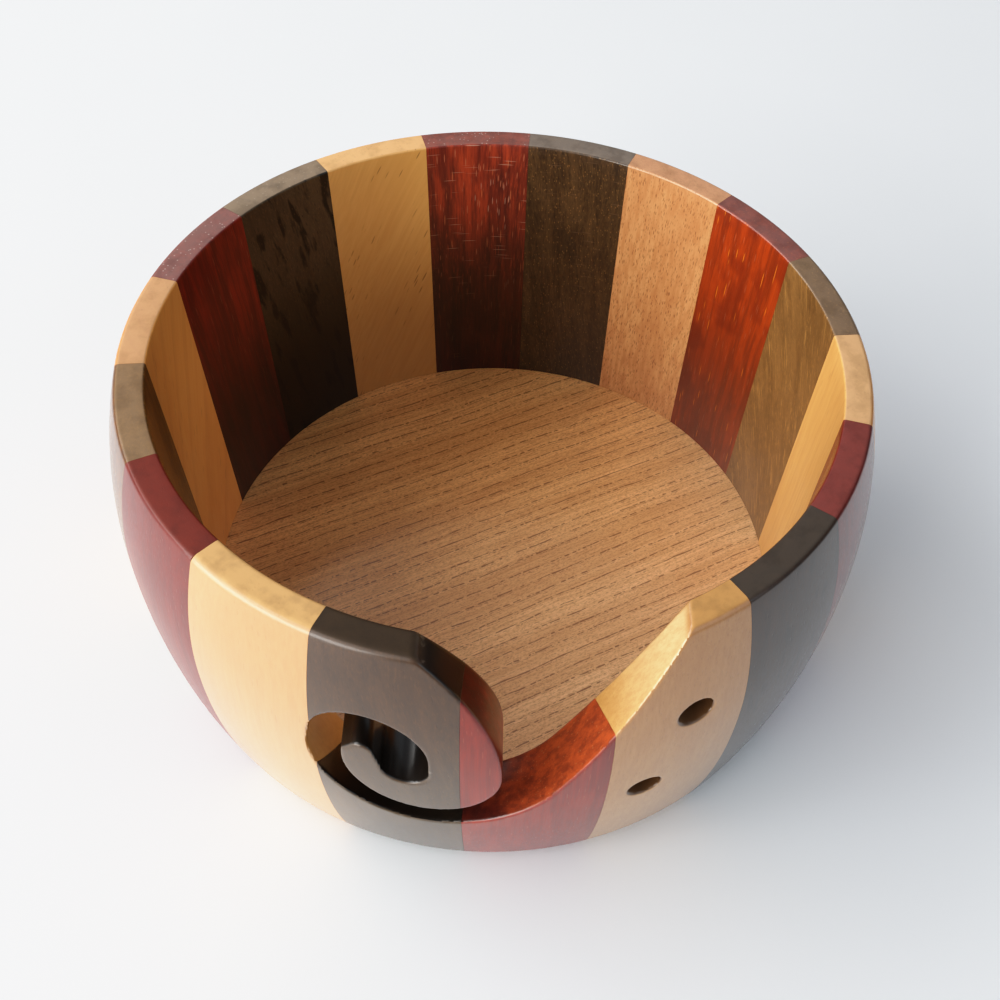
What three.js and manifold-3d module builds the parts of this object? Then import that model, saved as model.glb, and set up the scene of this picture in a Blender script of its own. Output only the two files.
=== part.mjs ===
// Yarn bowl: eighteen glued wooden staves around a round base, with a scoop in the
// front wall that runs into a spiral yarn slot, and two needle holes beside it.
// Millimetres. +Z up, the scoop faces -Y, +X to the right of someone facing the scoop.
// The origin is the centre of the flat underside.
import * as THREE from "three";
import * as BufferGeometryUtils from "three/addons/utils/BufferGeometryUtils.js";
import Module from "manifold-3d";

// Bowl
const RIM_Z = 77.3;             // height of the rim
const FLOOR_Z = 8;              // thickness of the base disc
const WIDEST_Z = 48;            // height of the widest circle
const WIDEST_R = 79.4;          // its radius
const UPPER_ARC_R = 98;         // radius of the outer profile above the widest circle
const LOWER_ARC_R = 160;        // and below it
const INNER_RIM_R = 69.1;       // inside radius at the rim
const INNER_FLOOR_R = 64.7;     // inside radius at the floor
const RIM_ROUND_R = 1.2;        // round-over on the outside of the rim
const RIM_CHAMFER = 0.4;        // chamfer on the inside of the rim
const FOOT_ROUND_R = 5;         // round-over at the foot

// Staves
const STAVE_COUNT = 18;
const STAVE_ANGLE = 20;         // degrees each
const FIRST_JOINT_ANGLE = 4.2;  // degrees from -Y towards -X, joint of staves 18 and 1
const STEPS_PER_STAVE = 4;      // facets across one stave
const SIDE_STEPS = 11;          // and up its outside, between the two round-overs
const GLUE_GAP = 0.1;           // glue line between neighbours

// Base disc, let into a rabbet under the staves
const DISC_R = 66.7;
const DISC_FIT_GAP = 0.15;      // around its edge
const DISC_SHOULDER_GAP = 0.1;  // under the shoulder of the rabbet
const DISC_CHAMFER = 0.6;

// Cut through the front wall, drawn looking along +Y as x, z
const CUT_FRONT_Y = -90;
const CUT_BACK_Y = -40;
const TONGUE_X = -12.7;         // centre of the curled tongue
const TONGUE_Z = 47;
const TONGUE_R = 14.5;
const TONGUE_END = -190;        // degrees turned to by its edge, clockwise from the right
const SLOT_OUTER_R = 20.9;      // outer side of the slot, on the same centre
const HOOK_EDGE_R = 38;         // left edge of the scoop, from the tongue up to the rim
const HOOK_EDGE_END = 55;       // degrees turned by that edge, to past the rim
const SCOOP_FLOOR_R = 28;       // bottom of the scoop, from the slot into the slope
const SCOOP_FLOOR_TURN = 60;    // degrees turned by the bottom; the slope goes on straight
const EYE_X = -22.2;            // round top of the spiral
const EYE_Z = 50.6;
const EYE_R = 10.8;
const EYE_END = 175;            // degrees turned to, from the right over the top
const TIP_X = -23.3;            // rounded tip of the tongue
const TIP_Z = 50.5;
const TIP_R = 2.2;
const TIP_FROM = 150;           // its arc, in degrees
const TIP_TO = 10;
const END_X = -15.7;            // blind end of the spiral
const END_Z = 47.1;
const END_R = 4.3;
const ABOVE_RIM = 6;            // the cut is drawn this far past the rim
const CURVE_SEGMENTS = 10;      // half the straight steps along each arc of the cut

// Needle holes, bored along Y in stave 17
const HOLE_R = 3.2;
const HOLE_SIDES = 28;
const HOLES = [
  { x: 36.3, z: 55.6 },
  { x: 29.0, z: 33.0 },
];

const WOODS = {
  walnut: { color: 0x4a3626, roughness: 0.35 },
  maple: { color: 0xd2a468, roughness: 0.35 },
  padauk: { color: 0x7e2218, roughness: 0.35 },
  beech: { color: 0xb98a60, roughness: 0.45 },
};

const rad = THREE.MathUtils.degToRad;
const wasm = await Module();
wasm.setup();

// --- solids -----------------------------------------------------------------

function toManifold(geometry) {
  const bare = geometry.clone();
  bare.deleteAttribute("normal");
  bare.deleteAttribute("uv");
  const merged = BufferGeometryUtils.mergeVertices(bare, 1e-5);
  return new wasm.Manifold(new wasm.Mesh({
    numProp: 3,
    vertProperties: Float32Array.from(merged.attributes.position.array),
    triVerts: Uint32Array.from(merged.index.array),
  }));
}

function toGeometry(solid) {
  const mesh = solid.getMesh();
  const geometry = new THREE.BufferGeometry();
  geometry.setAttribute("position", new THREE.BufferAttribute(mesh.vertProperties, 3));
  geometry.setIndex(new THREE.BufferAttribute(mesh.triVerts, 1));
  const flat = geometry.toNonIndexed();
  flat.computeVertexNormals();
  return flat;
}

// Turns a closed outline of Vector2(radius, height) about Z, facets meeting the joints.
function revolve(outline) {
  const closed = [...outline, outline[0]];
  const segments = STAVE_COUNT * STEPS_PER_STAVE;
  const geometry = new THREE.LatheGeometry(closed, segments);
  geometry.rotateX(Math.PI / 2);
  geometry.rotateZ(rad(-90 - FIRST_JOINT_ANGLE));
  return toManifold(geometry);
}

// --- the wall ---------------------------------------------------------------

// Outside radius at a height: two arcs that meet at the widest circle.
function outerRadius(z) {
  const arc = z > WIDEST_Z ? UPPER_ARC_R : LOWER_ARC_R;
  const rise = z - WIDEST_Z;
  return WIDEST_R - arc + Math.sqrt(arc * arc - rise * rise);
}

function arcPoints(cx, cy, r, from, to, steps) {
  const points = [];
  for (let i = 0; i <= steps; i++) {
    const a = rad(from + (to - from) * i / steps);
    points.push(new THREE.Vector2(cx + r * Math.cos(a), cy + r * Math.sin(a)));
  }
  return points;
}

// Centre radius of a round-over at height z that touches the outer profile from inside.
function roundOverCentre(z, r) {
  const arc = z > WIDEST_Z ? UPPER_ARC_R : LOWER_ARC_R;
  return WIDEST_R - arc + Math.sqrt((arc - r) ** 2 - (z - WIDEST_Z) ** 2);
}

// Direction, in degrees above level, in which that round-over meets the outer profile.
function meetingAngle(z, r) {
  const arc = z > WIDEST_Z ? UPPER_ARC_R : LOWER_ARC_R;
  return THREE.MathUtils.radToDeg(Math.asin((z - WIDEST_Z) / (arc - r)));
}

// Section of the wall, counter-clockwise from the foot of the rabbet.
function wallOutline() {
  const footZ = FOOT_ROUND_R;
  const footR = roundOverCentre(footZ, FOOT_ROUND_R);
  const footAngle = meetingAngle(footZ, FOOT_ROUND_R);
  const rimZ = RIM_Z - RIM_ROUND_R;
  const rimR = roundOverCentre(rimZ, RIM_ROUND_R);
  const rimAngle = meetingAngle(rimZ, RIM_ROUND_R);

  const points = [new THREE.Vector2(DISC_R, 0)];
  points.push(...arcPoints(footR, footZ, FOOT_ROUND_R, -90, footAngle, 5));
  const low = points[points.length - 1].y;
  const high = rimZ + RIM_ROUND_R * Math.sin(rad(rimAngle));
  for (let i = 1; i < SIDE_STEPS; i++) {
    const z = low + (high - low) * i / SIDE_STEPS;
    points.push(new THREE.Vector2(outerRadius(z), z));
  }
  points.push(...arcPoints(rimR, rimZ, RIM_ROUND_R, rimAngle, 90, 4));
  points.push(new THREE.Vector2(INNER_RIM_R + RIM_CHAMFER, RIM_Z));
  points.push(new THREE.Vector2(INNER_RIM_R, RIM_Z - RIM_CHAMFER));
  points.push(new THREE.Vector2(INNER_FLOOR_R, FLOOR_Z));
  points.push(new THREE.Vector2(DISC_R, FLOOR_Z));
  return points;
}

// --- the cut ----------------------------------------------------------------

// Scoop and spiral slot as one closed outline, from the rim at the hook and back.
function cutOutline() {
  const shape = new THREE.Shape();
  const edgeX = TONGUE_X + TONGUE_R - HOOK_EDGE_R;
  const floorZ = TONGUE_Z - SLOT_OUTER_R + SCOOP_FLOOR_R;
  const floorEnd = rad(SCOOP_FLOOR_TURN - 90);
  const slopeX = TONGUE_X + SCOOP_FLOOR_R * Math.cos(floorEnd);
  const slopeZ = floorZ + SCOOP_FLOOR_R * Math.sin(floorEnd);
  const topZ = RIM_Z + ABOVE_RIM;
  const topX = slopeX + (topZ - slopeZ) / Math.tan(rad(SCOOP_FLOOR_TURN));
  const hookEnd = rad(HOOK_EDGE_END);

  shape.moveTo(edgeX + HOOK_EDGE_R * Math.cos(hookEnd), topZ);
  shape.absarc(edgeX, TONGUE_Z, HOOK_EDGE_R, hookEnd, 0, true);
  shape.absarc(TONGUE_X, TONGUE_Z, TONGUE_R, 0, rad(TONGUE_END), true);
  shape.absarc(TIP_X, TIP_Z, TIP_R, rad(TIP_FROM), rad(TIP_TO), true);
  shape.absarc(END_X, END_Z, END_R, rad(180), rad(360), false);
  shape.absarc(EYE_X, EYE_Z, EYE_R, 0, rad(EYE_END), false);
  shape.absarc(TONGUE_X, TONGUE_Z, SLOT_OUTER_R, rad(180), rad(270), false);
  shape.absarc(TONGUE_X, floorZ, SCOOP_FLOOR_R, rad(270), rad(270 + SCOOP_FLOOR_TURN), false);
  shape.lineTo(topX, topZ);
  return shape;
}

function extrudeAlongY(shape) {
  const geometry = new THREE.ExtrudeGeometry(shape, {
    depth: CUT_BACK_Y - CUT_FRONT_Y,
    bevelEnabled: false,
    curveSegments: CURVE_SEGMENTS,
  });
  geometry.rotateX(Math.PI / 2);
  geometry.translate(0, CUT_BACK_Y, 0);
  return toManifold(geometry);
}

function needleHole({ x, z }) {
  const length = CUT_BACK_Y - CUT_FRONT_Y;
  const geometry = new THREE.CylinderGeometry(HOLE_R, HOLE_R, length, HOLE_SIDES);
  geometry.translate(x, CUT_FRONT_Y + length / 2, z);
  return toManifold(geometry);
}

// --- staves -----------------------------------------------------------------

// Wedge between the joint planes of one stave, drawn back from each by half the glue line.
function staveWedge(number) {
  const from = FIRST_JOINT_ANGLE + (number - 1) * STAVE_ANGLE;
  const middle = rad(from + STAVE_ANGLE / 2);
  const half = rad(STAVE_ANGLE / 2);
  const reach = 2 * WIDEST_R;
  const apex = GLUE_GAP / 2 / Math.sin(half);
  const shape = new THREE.Shape();
  shape.moveTo(apex, 0);
  shape.lineTo(apex + reach * Math.cos(half), reach * Math.sin(half));
  shape.lineTo(apex + reach * Math.cos(half), -reach * Math.sin(half));
  shape.closePath();
  const geometry = new THREE.ExtrudeGeometry(shape, { depth: 2 * RIM_Z, bevelEnabled: false });
  geometry.translate(0, 0, -RIM_Z / 2);
  geometry.rotateZ(-Math.PI / 2 - middle);
  return toManifold(geometry);
}

function woodOf(number) {
  if (number === 11 || number === 17) return "beech";
  return ["walnut", "maple", "padauk"][(number - 1) % 3];
}

function pieceMesh(name, wood, solid) {
  const material = new THREE.MeshStandardMaterial({ ...WOODS[wood], metalness: 0 });
  const mesh = new THREE.Mesh(toGeometry(solid), material);
  mesh.name = name;
  return mesh;
}

function staveName(number) {
  return `stave_${String(number).padStart(2, "0")}_${woodOf(number)}`;
}

// A stave cut right through by the slot comes out as two solids, the lower one the foot.
function addStave(group, number, wall) {
  const solids = wall.intersect(staveWedge(number)).decompose();
  if (solids.length === 1) {
    group.add(pieceMesh(staveName(number), woodOf(number), solids[0]));
    return;
  }
  const lowest = (solid) => solid.boundingBox().min[2];
  solids.sort((a, b) => lowest(a) - lowest(b));
  const upperName = number === 1 ? "hook" : "tip";
  group.add(pieceMesh(`${staveName(number)}_foot`, woodOf(number), solids[0]));
  group.add(pieceMesh(`${staveName(number)}_${upperName}`, woodOf(number), solids[1]));
}

// --- base disc --------------------------------------------------------------

function baseDisc() {
  const r = DISC_R - DISC_FIT_GAP;
  const top = FLOOR_Z - DISC_SHOULDER_GAP;
  return revolve([
    new THREE.Vector2(0, 0),
    new THREE.Vector2(r - DISC_CHAMFER, 0),
    new THREE.Vector2(r, DISC_CHAMFER),
    new THREE.Vector2(r, top),
    new THREE.Vector2(0, top),
  ]);
}

function buildBowl() {
  const bowl = new THREE.Group();
  bowl.name = "yarn_bowl";
  let wall = revolve(wallOutline());
  wall = wall.subtract(extrudeAlongY(cutOutline()));
  for (const hole of HOLES) {
    wall = wall.subtract(needleHole(hole));
  }
  for (let number = 1; number <= STAVE_COUNT; number++) {
    addStave(bowl, number, wall);
  }
  bowl.add(pieceMesh("base_disc", "beech", baseDisc()));
  return bowl;
}

export default buildBowl();
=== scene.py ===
"""Yarn bowl of glued staves with a scoop, a spiral yarn slot and two needle holes.

The wall's section is one analytic outline. Staves that nothing cuts are that outline swept
through 20 degrees. The four front staves are meshed from a distance field of the wall minus
the cut and the needle holes, so every cut edge is softly rounded, and then split at the joints.
All shape code works in millimetres and meshes are made in metres.
"""
import math
import random

import bmesh
import bpy
import numpy as np
from mathutils import Matrix, Vector


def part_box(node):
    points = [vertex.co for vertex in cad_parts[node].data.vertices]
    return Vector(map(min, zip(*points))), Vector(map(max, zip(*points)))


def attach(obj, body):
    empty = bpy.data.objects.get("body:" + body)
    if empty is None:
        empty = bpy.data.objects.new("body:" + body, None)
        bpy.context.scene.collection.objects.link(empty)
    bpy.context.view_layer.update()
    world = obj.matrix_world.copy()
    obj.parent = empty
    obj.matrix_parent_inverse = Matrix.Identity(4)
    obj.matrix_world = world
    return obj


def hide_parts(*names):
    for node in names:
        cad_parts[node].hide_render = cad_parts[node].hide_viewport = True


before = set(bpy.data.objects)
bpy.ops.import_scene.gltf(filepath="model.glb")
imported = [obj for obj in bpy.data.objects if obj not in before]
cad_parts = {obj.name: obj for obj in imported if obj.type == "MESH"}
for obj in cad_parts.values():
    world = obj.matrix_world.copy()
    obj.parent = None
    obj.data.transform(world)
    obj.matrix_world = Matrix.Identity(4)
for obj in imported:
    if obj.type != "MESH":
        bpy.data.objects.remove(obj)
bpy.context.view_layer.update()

MM = 0.001

# Bowl
RIM_Z = 77.3
FLOOR_Z = 8.0
WIDEST_Z = 48.0
WIDEST_R = 79.35
UPPER_ARC_R = 98.0
LOWER_ARC_R = 160.0
INNER_RIM_R = 69.1
INNER_FLOOR_R = 64.7
RIM_ROUND_R = 1.2
RIM_INNER_ROUND_R = 0.5
FOOT_ROUND_R = 5.0
DISC_R = 66.7
DISC_TOP_Z = 7.9
DISC_FIT_GAP = 0.15
DISC_LOW_EDGE_R = 0.8
DISC_HIGH_EDGE_R = 0.2

# Staves, numbered clockwise seen from above; angles in degrees from -Y towards -X
STAVE_ANGLE = 20.0
FIRST_JOINT_ANGLE = 4.2
HALF_GLUE_LINE = 0.02

# Cut through the front wall, as x, z; ends and turns of its arcs in degrees
TONGUE = (-12.7, 47.0)
TONGUE_R = 14.5
TONGUE_END = -190.0
SLOT_OUTER_R = 20.9
HOOK_EDGE_R = 38.0
HOOK_EDGE_END = 60.0
SCOOP_FLOOR_R = 28.0
SCOOP_FLOOR_TURN = 60.0
EYE = (-22.2, 50.6)
EYE_R = 10.8
EYE_END = 175.0
TIP = (-23.3, 50.5)
TIP_R = 2.2
TIP_FROM = 150.0
TIP_TO = 10.0
SLOT_END = (-15.7, 47.1)
SLOT_END_R = 4.3
ABOVE_RIM = 6.0
CUT_EDGE_R = 0.45
HOLES = ((36.3, 55.6), (29.0, 33.0))
HOLE_R = 3.2
HOLE_EDGE_R = 0.45

# Grid of the distance field, its margins past the wall, and the table of distances to the cut
CELL = 0.42
FIELD_RADIUS_MARGIN = 1.5
FIELD_HEIGHT_MARGIN = 1.0
FIELD_ANGLE_MARGIN = 1.5
FIELD_MEAN_R = 74.0
CUT_TABLE_STEP = 0.1
CUT_TABLE_X = (-40.0, 44.0)
CUT_TABLE_BOTTOM = 20.0
CUT_OUTLINE_STEP = 0.25
FRONT_STAVES = (1, 2, 17, 18)

# Grain of the base disc, in degrees from +X towards +Y, the lean that lays it level, and the
# wall's mean radius
FLOOR_GRAIN_ANGLE = 27.5
FLOOR_GRAIN_LEAN = -90.0
MEAN_WALL_R = 72.0

# Marks on the wood, and the light and shade painted on it
MAPLE_RING = 3.6
# How far the rim top takes its colour, which is partly a painted sheen
RIM_AND_SHEEN_SHARE = 0.7
SPECK_COLOR = (0.72, 0.62, 0.55)
SCRATCH_COLOR = (0.55, 0.33, 0.24)
# Pale edges: partly wear, partly a painted highlight on the rounded edges
EDGE_WEAR_AND_HIGHLIGHT_COLOR = (0.80, 0.66, 0.52)
# Painted shade inside the needle holes
BORE_SHADE_COLOR = (0.16, 0.08, 0.035)
# Painted shade low on the inner wall
LOW_SHADE_TINT = (0.10, 0.08, 0.04)
# Painted shade on the upper outside, under the rim
UPPER_SHADE_TINT = (0.80, 0.60, 0.44)
# Painted shade down in the yarn slot
SLOT_SHADE_TINT = (0.20, 0.12, 0.15)
LOW_CUT_TINT = (0.82, 0.62, 0.38)
# Tints of the cut faces: partly the cut end grain's own colour, partly painted light and shade, dark for
# the slot's shade on the walnut
CUT_GRAIN_AND_SHADE_TINTS = {
    "stave_01_walnut_hook": (0.10, 0.08, 0.06),
    "stave_01_walnut_foot": (0.12, 0.11, 0.10),
    "stave_02_maple": (1.25, 1.05, 0.75),
    "stave_17_beech": (1.50, 1.95, 2.50),
    "stave_18_padauk_foot": (1.35, 2.50, 2.00),
    "stave_18_padauk_tip": (1.60, 0.75, 0.22),
}

# Where tints of the wood and painted shade fade in, from none to full: heights, or places along x
CUT_BOTTOM_FADE = (15.0, 20.0)
LOW_SHADE_FADE = (70.0, 26.0)
UPPER_SHADE_FADE = (22.0, 72.0)
LOW_CUT_FADE = (76.0, 50.0)
EDGE_WEAR_AND_HIGHLIGHT_FADE = (12.0, 18.0)
SLOT_SHADE_FADE_X = (12.0, -3.0)
SLOT_SHADE_WAVE = 12.0

# Painted light on the base disc: it pales and cools along x - y, from painted shade at the back left to
# painted light and sheen at the front right
FLOOR_LIGHT_FADE = (-60.0, 90.0)
FLOOR_SHADED_TINT = (1.00, 0.92, 0.76)
FLOOR_LIT_TINT = (1.10, 1.16, 1.28)

# Finish of the wood
FINISH_ROUGHNESS = 0.2
RIM_EXTRA_ROUGHNESS = 0.25
RIM_BARE_SHARE = 0.85
FINISH_IOR = 1.55
WOOD_IOR = 1.45
# Share of the pale edge colour, partly painted highlight
EDGE_WEAR_AND_HIGHLIGHT_SHARE = 0.15
GRAIN_RELIEF = 0.12

# Table, in metres
TABLE_HALF = 2.4
TABLE_GAP = 0.0002

# Camera: place in millimetres, then degrees
CAMERA_PLACE = (0.0, -189.5, 258.6)
CAMERA_PAN = 6.43
CAMERA_TILT = 48.86
CAMERA_ROLL = 6.2
CAMERA_LENS = 46.71
CAMERA_SHIFT = (-0.0954, -0.0283)

# Light, in metres: name, azimuth and elevation in degrees, size, power and colour
BOWL_MIDDLE = (0.0, 0.0, 0.04)
LIGHT_DISTANCE = 2.2
DAYLIGHT = (1.0, 0.99, 0.96)
SKYLIGHT = (0.92, 0.97, 1.0)
SHADE_LIGHT = (0.70, 0.87, 1.0)
LIGHTS = (
    ("window_left", 174, 40, (2.0, 1.4), 29.0, DAYLIGHT),
    ("window_front", 215, 17, (1.9, 1.2), 45.0, DAYLIGHT),
    ("window_high", 225, 42, (1.4, 1.2), 7.0, DAYLIGHT),
    ("room_back_left", 135, 42, (1.6, 1.4), 8.0, DAYLIGHT),
    ("room_back_right", 45, 42, (1.6, 1.4), 2.0, SKYLIGHT),
    ("room_front_right", 320, 30, (1.6, 1.4), 7.0, SHADE_LIGHT),
)
HORIZON_COLOR = (0.015, 0.018, 0.022)
CEILING_COLOR = (0.36, 0.365, 0.39)
BACKDROP_COLOR = (0.55, 0.57, 0.60)

# Scene-linear value in and out
TONE_CURVE = (
    (0.012, 0.0065), (0.05, 0.037), (0.12, 0.107), (0.25, 0.25), (0.5, 0.515),
    (0.8, 0.79), (1.0, 0.90), (1.5, 0.98), (2.0, 1.0),
)


def outer_centre(z):
    """Radius of the centre of the outer profile's arc at height z, and that arc's radius."""
    arc = np.where(z > WIDEST_Z, UPPER_ARC_R, LOWER_ARC_R)
    return WIDEST_R - arc, arc


def outer_radius(z):
    """Outer radius of the wall at height z."""
    centre, arc = outer_centre(z)
    return centre + np.sqrt(arc * arc - (z - WIDEST_Z) ** 2)


def inner_radius(z):
    """Inner radius of the wall at height z, along its straight cone."""
    share = (z - FLOOR_Z) / (RIM_Z - FLOOR_Z)
    return INNER_FLOOR_R + (INNER_RIM_R - INNER_FLOOR_R) * share


# --- swept staves -------------------------------------------------------------


def arc_points(cx, cy, r, start, end, steps):
    """Points of an arc round a centre, between two angles in degrees."""
    angles = np.radians(np.linspace(start, end, steps + 1))
    return [(cx + r * math.cos(a), cy + r * math.sin(a)) for a in angles]


def round_over(z, r):
    """Centre radius of a round-over at height z inside the outer profile, and its meeting angle."""
    arc = UPPER_ARC_R if z > WIDEST_Z else LOWER_ARC_R
    centre = WIDEST_R - arc + math.sqrt((arc - r) ** 2 - (z - WIDEST_Z) ** 2)
    return centre, math.degrees(math.asin((z - WIDEST_Z) / (arc - r)))


def line_points(a, b, steps):
    """Points of the straight line from a to b, without a itself."""
    start, run = np.array(a), np.array(b) - np.array(a)
    return [tuple(start + run * i / steps) for i in range(1, steps + 1)]


def wall_outline():
    """Closed section of the wall as (radius, height), counter-clockwise."""
    foot_r, foot_angle = round_over(FOOT_ROUND_R, FOOT_ROUND_R)
    rim_z = RIM_Z - RIM_ROUND_R
    rim_r, rim_angle = round_over(rim_z, RIM_ROUND_R)
    inner = RIM_INNER_ROUND_R
    points = [(DISC_R, 0.0)]
    points += arc_points(foot_r, FOOT_ROUND_R, FOOT_ROUND_R, -90, foot_angle, 10)
    low = points[-1][1]
    high = rim_z + RIM_ROUND_R * math.sin(math.radians(rim_angle))
    side = np.linspace(low, high, 30)[1:-1]
    points += [(float(outer_radius(z)), float(z)) for z in side]
    points += arc_points(rim_r, rim_z, RIM_ROUND_R, rim_angle, 90, 8)
    edge = (INNER_RIM_R + inner, RIM_Z)
    points += line_points(points[-1], edge, 3)
    points += arc_points(edge[0], RIM_Z - inner, inner, 110, 180, 3)
    points += line_points(points[-1], (INNER_FLOOR_R, FLOOR_Z), 20)
    points += [(DISC_R, FLOOR_Z)]
    return points


def polar(radius, degrees, z):
    """A point at an angle measured from -Y towards -X."""
    a = math.radians(degrees)
    return (-radius * math.sin(a), -radius * math.cos(a), z)


def mesh_object(name, vertices, faces):
    """An object with smooth faces from vertices in millimetres."""
    mesh = bpy.data.meshes.new(name)
    mesh.from_pydata([tuple(c * MM for c in v) for v in vertices], [], faces)
    return finished_object(name, mesh, 35)


def finished_object(name, mesh, sharp_degrees):
    """An object of the mesh, smooth but for edges sharper than sharp_degrees."""
    mesh.validate()
    mesh.update()
    mesh.polygons.foreach_set("use_smooth", [True] * len(mesh.polygons))
    mesh.set_sharp_from_angle(angle=math.radians(sharp_degrees))
    obj = bpy.data.objects.new(name, mesh)
    bpy.context.scene.collection.objects.link(obj)
    return obj


def swept_stave(name, number, steps=14):
    """One uncut stave: the wall's section swept through its angle and closed at both joints."""
    outline = wall_outline()
    start = FIRST_JOINT_ANGLE + (number - 1) * STAVE_ANGLE
    trim = math.degrees(HALF_GLUE_LINE / WIDEST_R)
    vertices, faces = [], []
    count = len(outline)
    for i in range(steps + 1):
        angle = start + trim + (STAVE_ANGLE - 2 * trim) * i / steps
        vertices += [polar(r, angle, z) for r, z in outline]
    for i in range(steps):
        for j in range(count):
            k = (j + 1) % count
            a, b = i * count, (i + 1) * count
            faces.append((a + j, b + j, b + k, a + k))
    faces.append(tuple(range(count)))
    faces.append(tuple(reversed(range(steps * count, (steps + 1) * count))))
    obj = mesh_object(name, vertices, faces)
    fix_normals(obj.data)
    return obj


def fix_normals(mesh):
    """Turns every face of a closed mesh outwards."""
    bm = bmesh.new()
    bm.from_mesh(mesh)
    bmesh.ops.recalc_face_normals(bm, faces=bm.faces)
    bm.to_mesh(mesh)
    bm.free()


# --- the cut's distance field ---------------------------------------------------


def cut_arcs():
    """Arcs of the cut's outline in order: centre x, centre z, radius, from and to in degrees."""
    tx, tz = TONGUE
    hook_x = tx + TONGUE_R - HOOK_EDGE_R
    floor_z = tz - SLOT_OUTER_R + SCOOP_FLOOR_R
    return [
        (hook_x, tz, HOOK_EDGE_R, HOOK_EDGE_END, 0),
        (tx, tz, TONGUE_R, 0, TONGUE_END),
        (*TIP, TIP_R, TIP_FROM, TIP_TO),
        (*SLOT_END, SLOT_END_R, 180, 360),
        (*EYE, EYE_R, 0, EYE_END),
        (tx, tz, SLOT_OUTER_R, 180, 270),
        (tx, floor_z, SCOOP_FLOOR_R, 270, 270 + SCOOP_FLOOR_TURN),
    ]


def cut_polygon(step):
    """The cut's closed outline as many short straight steps."""
    points = []
    for cx, cz, r, start, end in cut_arcs():
        count = max(2, int(abs(math.radians(end - start)) * r / step))
        points += arc_points(cx, cz, r, start, end, count)
    last = points[-1]
    top = RIM_Z + ABOVE_RIM
    run = (top - last[1]) / math.tan(math.radians(SCOOP_FLOOR_TURN))
    points += line_points(last, (last[0] + run, top), int((top - last[1]) / step))
    return np.array(points)


def densify(points, step):
    """Closed polyline with no gap longer than step."""
    out = []
    for a, b in zip(points, np.roll(points, -1, axis=0)):
        count = max(1, int(np.linalg.norm(b - a) / step))
        out.append(a + (b - a) * (np.arange(count) / count)[:, None])
    return np.concatenate(out)


def inside_table(polygon, xs, zs):
    """True where a point of the table lies inside the polygon, row by row."""
    inside = np.zeros((len(xs), len(zs)), bool)
    a = polygon
    b = np.roll(polygon, -1, axis=0)
    for j, z in enumerate(zs):
        crosses = (a[:, 1] > z) != (b[:, 1] > z)
        p, q = a[crosses], b[crosses]
        at = np.sort(p[:, 0] + (z - p[:, 1]) * (q[:, 0] - p[:, 0]) / (q[:, 1] - p[:, 1]))
        for left, right in zip(at[0::2], at[1::2]):
            inside[(xs > left) & (xs < right), j] = True
    return inside


def distance_to_points(polygon, xs, zs, reach=3.0):
    """Distance from each table point to a dense outline, exact within reach of it."""
    table = np.full((len(xs), len(zs)), reach)
    step = xs[1] - xs[0]
    span = int(reach / step)
    for a, b in zip(polygon, np.roll(polygon, -1, axis=0)):
        i = int((a[0] - xs[0]) / step)
        j = int((a[1] - zs[0]) / step)
        i0, i1 = max(0, i - span), min(len(xs), i + span + 1)
        j0, j1 = max(0, j - span), min(len(zs), j + span + 1)
        if i0 >= i1 or j0 >= j1:
            continue
        dx = xs[i0:i1, None] - a[0]
        dz = zs[None, j0:j1] - a[1]
        along = b - a
        length = along @ along
        t = np.clip((dx * along[0] + dz * along[1]) / length, 0, 1) if length > 0 else 0
        d = np.hypot(dx - t * along[0], dz - t * along[1])
        np.minimum(table[i0:i1, j0:j1], d, out=table[i0:i1, j0:j1])
    return table


def make_cut_table():
    """Signed distance to the cut's outline on a fine table, negative inside the cut."""
    xs = np.arange(*CUT_TABLE_X, CUT_TABLE_STEP)
    zs = np.arange(CUT_TABLE_BOTTOM, RIM_Z + ABOVE_RIM + 1, CUT_TABLE_STEP)
    outline = densify(cut_polygon(CUT_OUTLINE_STEP), CUT_OUTLINE_STEP)
    distance = distance_to_points(outline, xs, zs)
    return xs, zs, np.where(inside_table(outline, xs, zs), -distance, distance)


CUT_XS, CUT_ZS, CUT_TABLE = make_cut_table()


def cut_distance(x, z):
    """Signed distance to the cut from the table, straight between its points."""
    u = np.clip((x - CUT_XS[0]) / CUT_TABLE_STEP, 0, len(CUT_XS) - 1.001)
    v = np.clip((z - CUT_ZS[0]) / CUT_TABLE_STEP, 0, len(CUT_ZS) - 1.001)
    i, j = u.astype(int), v.astype(int)
    s, t = u - i, v - j
    low = CUT_TABLE[i, j] * (1 - s) + CUT_TABLE[i + 1, j] * s
    high = CUT_TABLE[i, j + 1] * (1 - s) + CUT_TABLE[i + 1, j + 1] * s
    return low * (1 - t) + high * t


def round_max(a, b, r):
    """Intersection of two fields with its edge rounded to radius r."""
    corner = np.hypot(np.maximum(a + r, 0), np.maximum(b + r, 0)) - r
    return np.where((a > -r) & (b > -r), corner, np.maximum(a, b))


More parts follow.
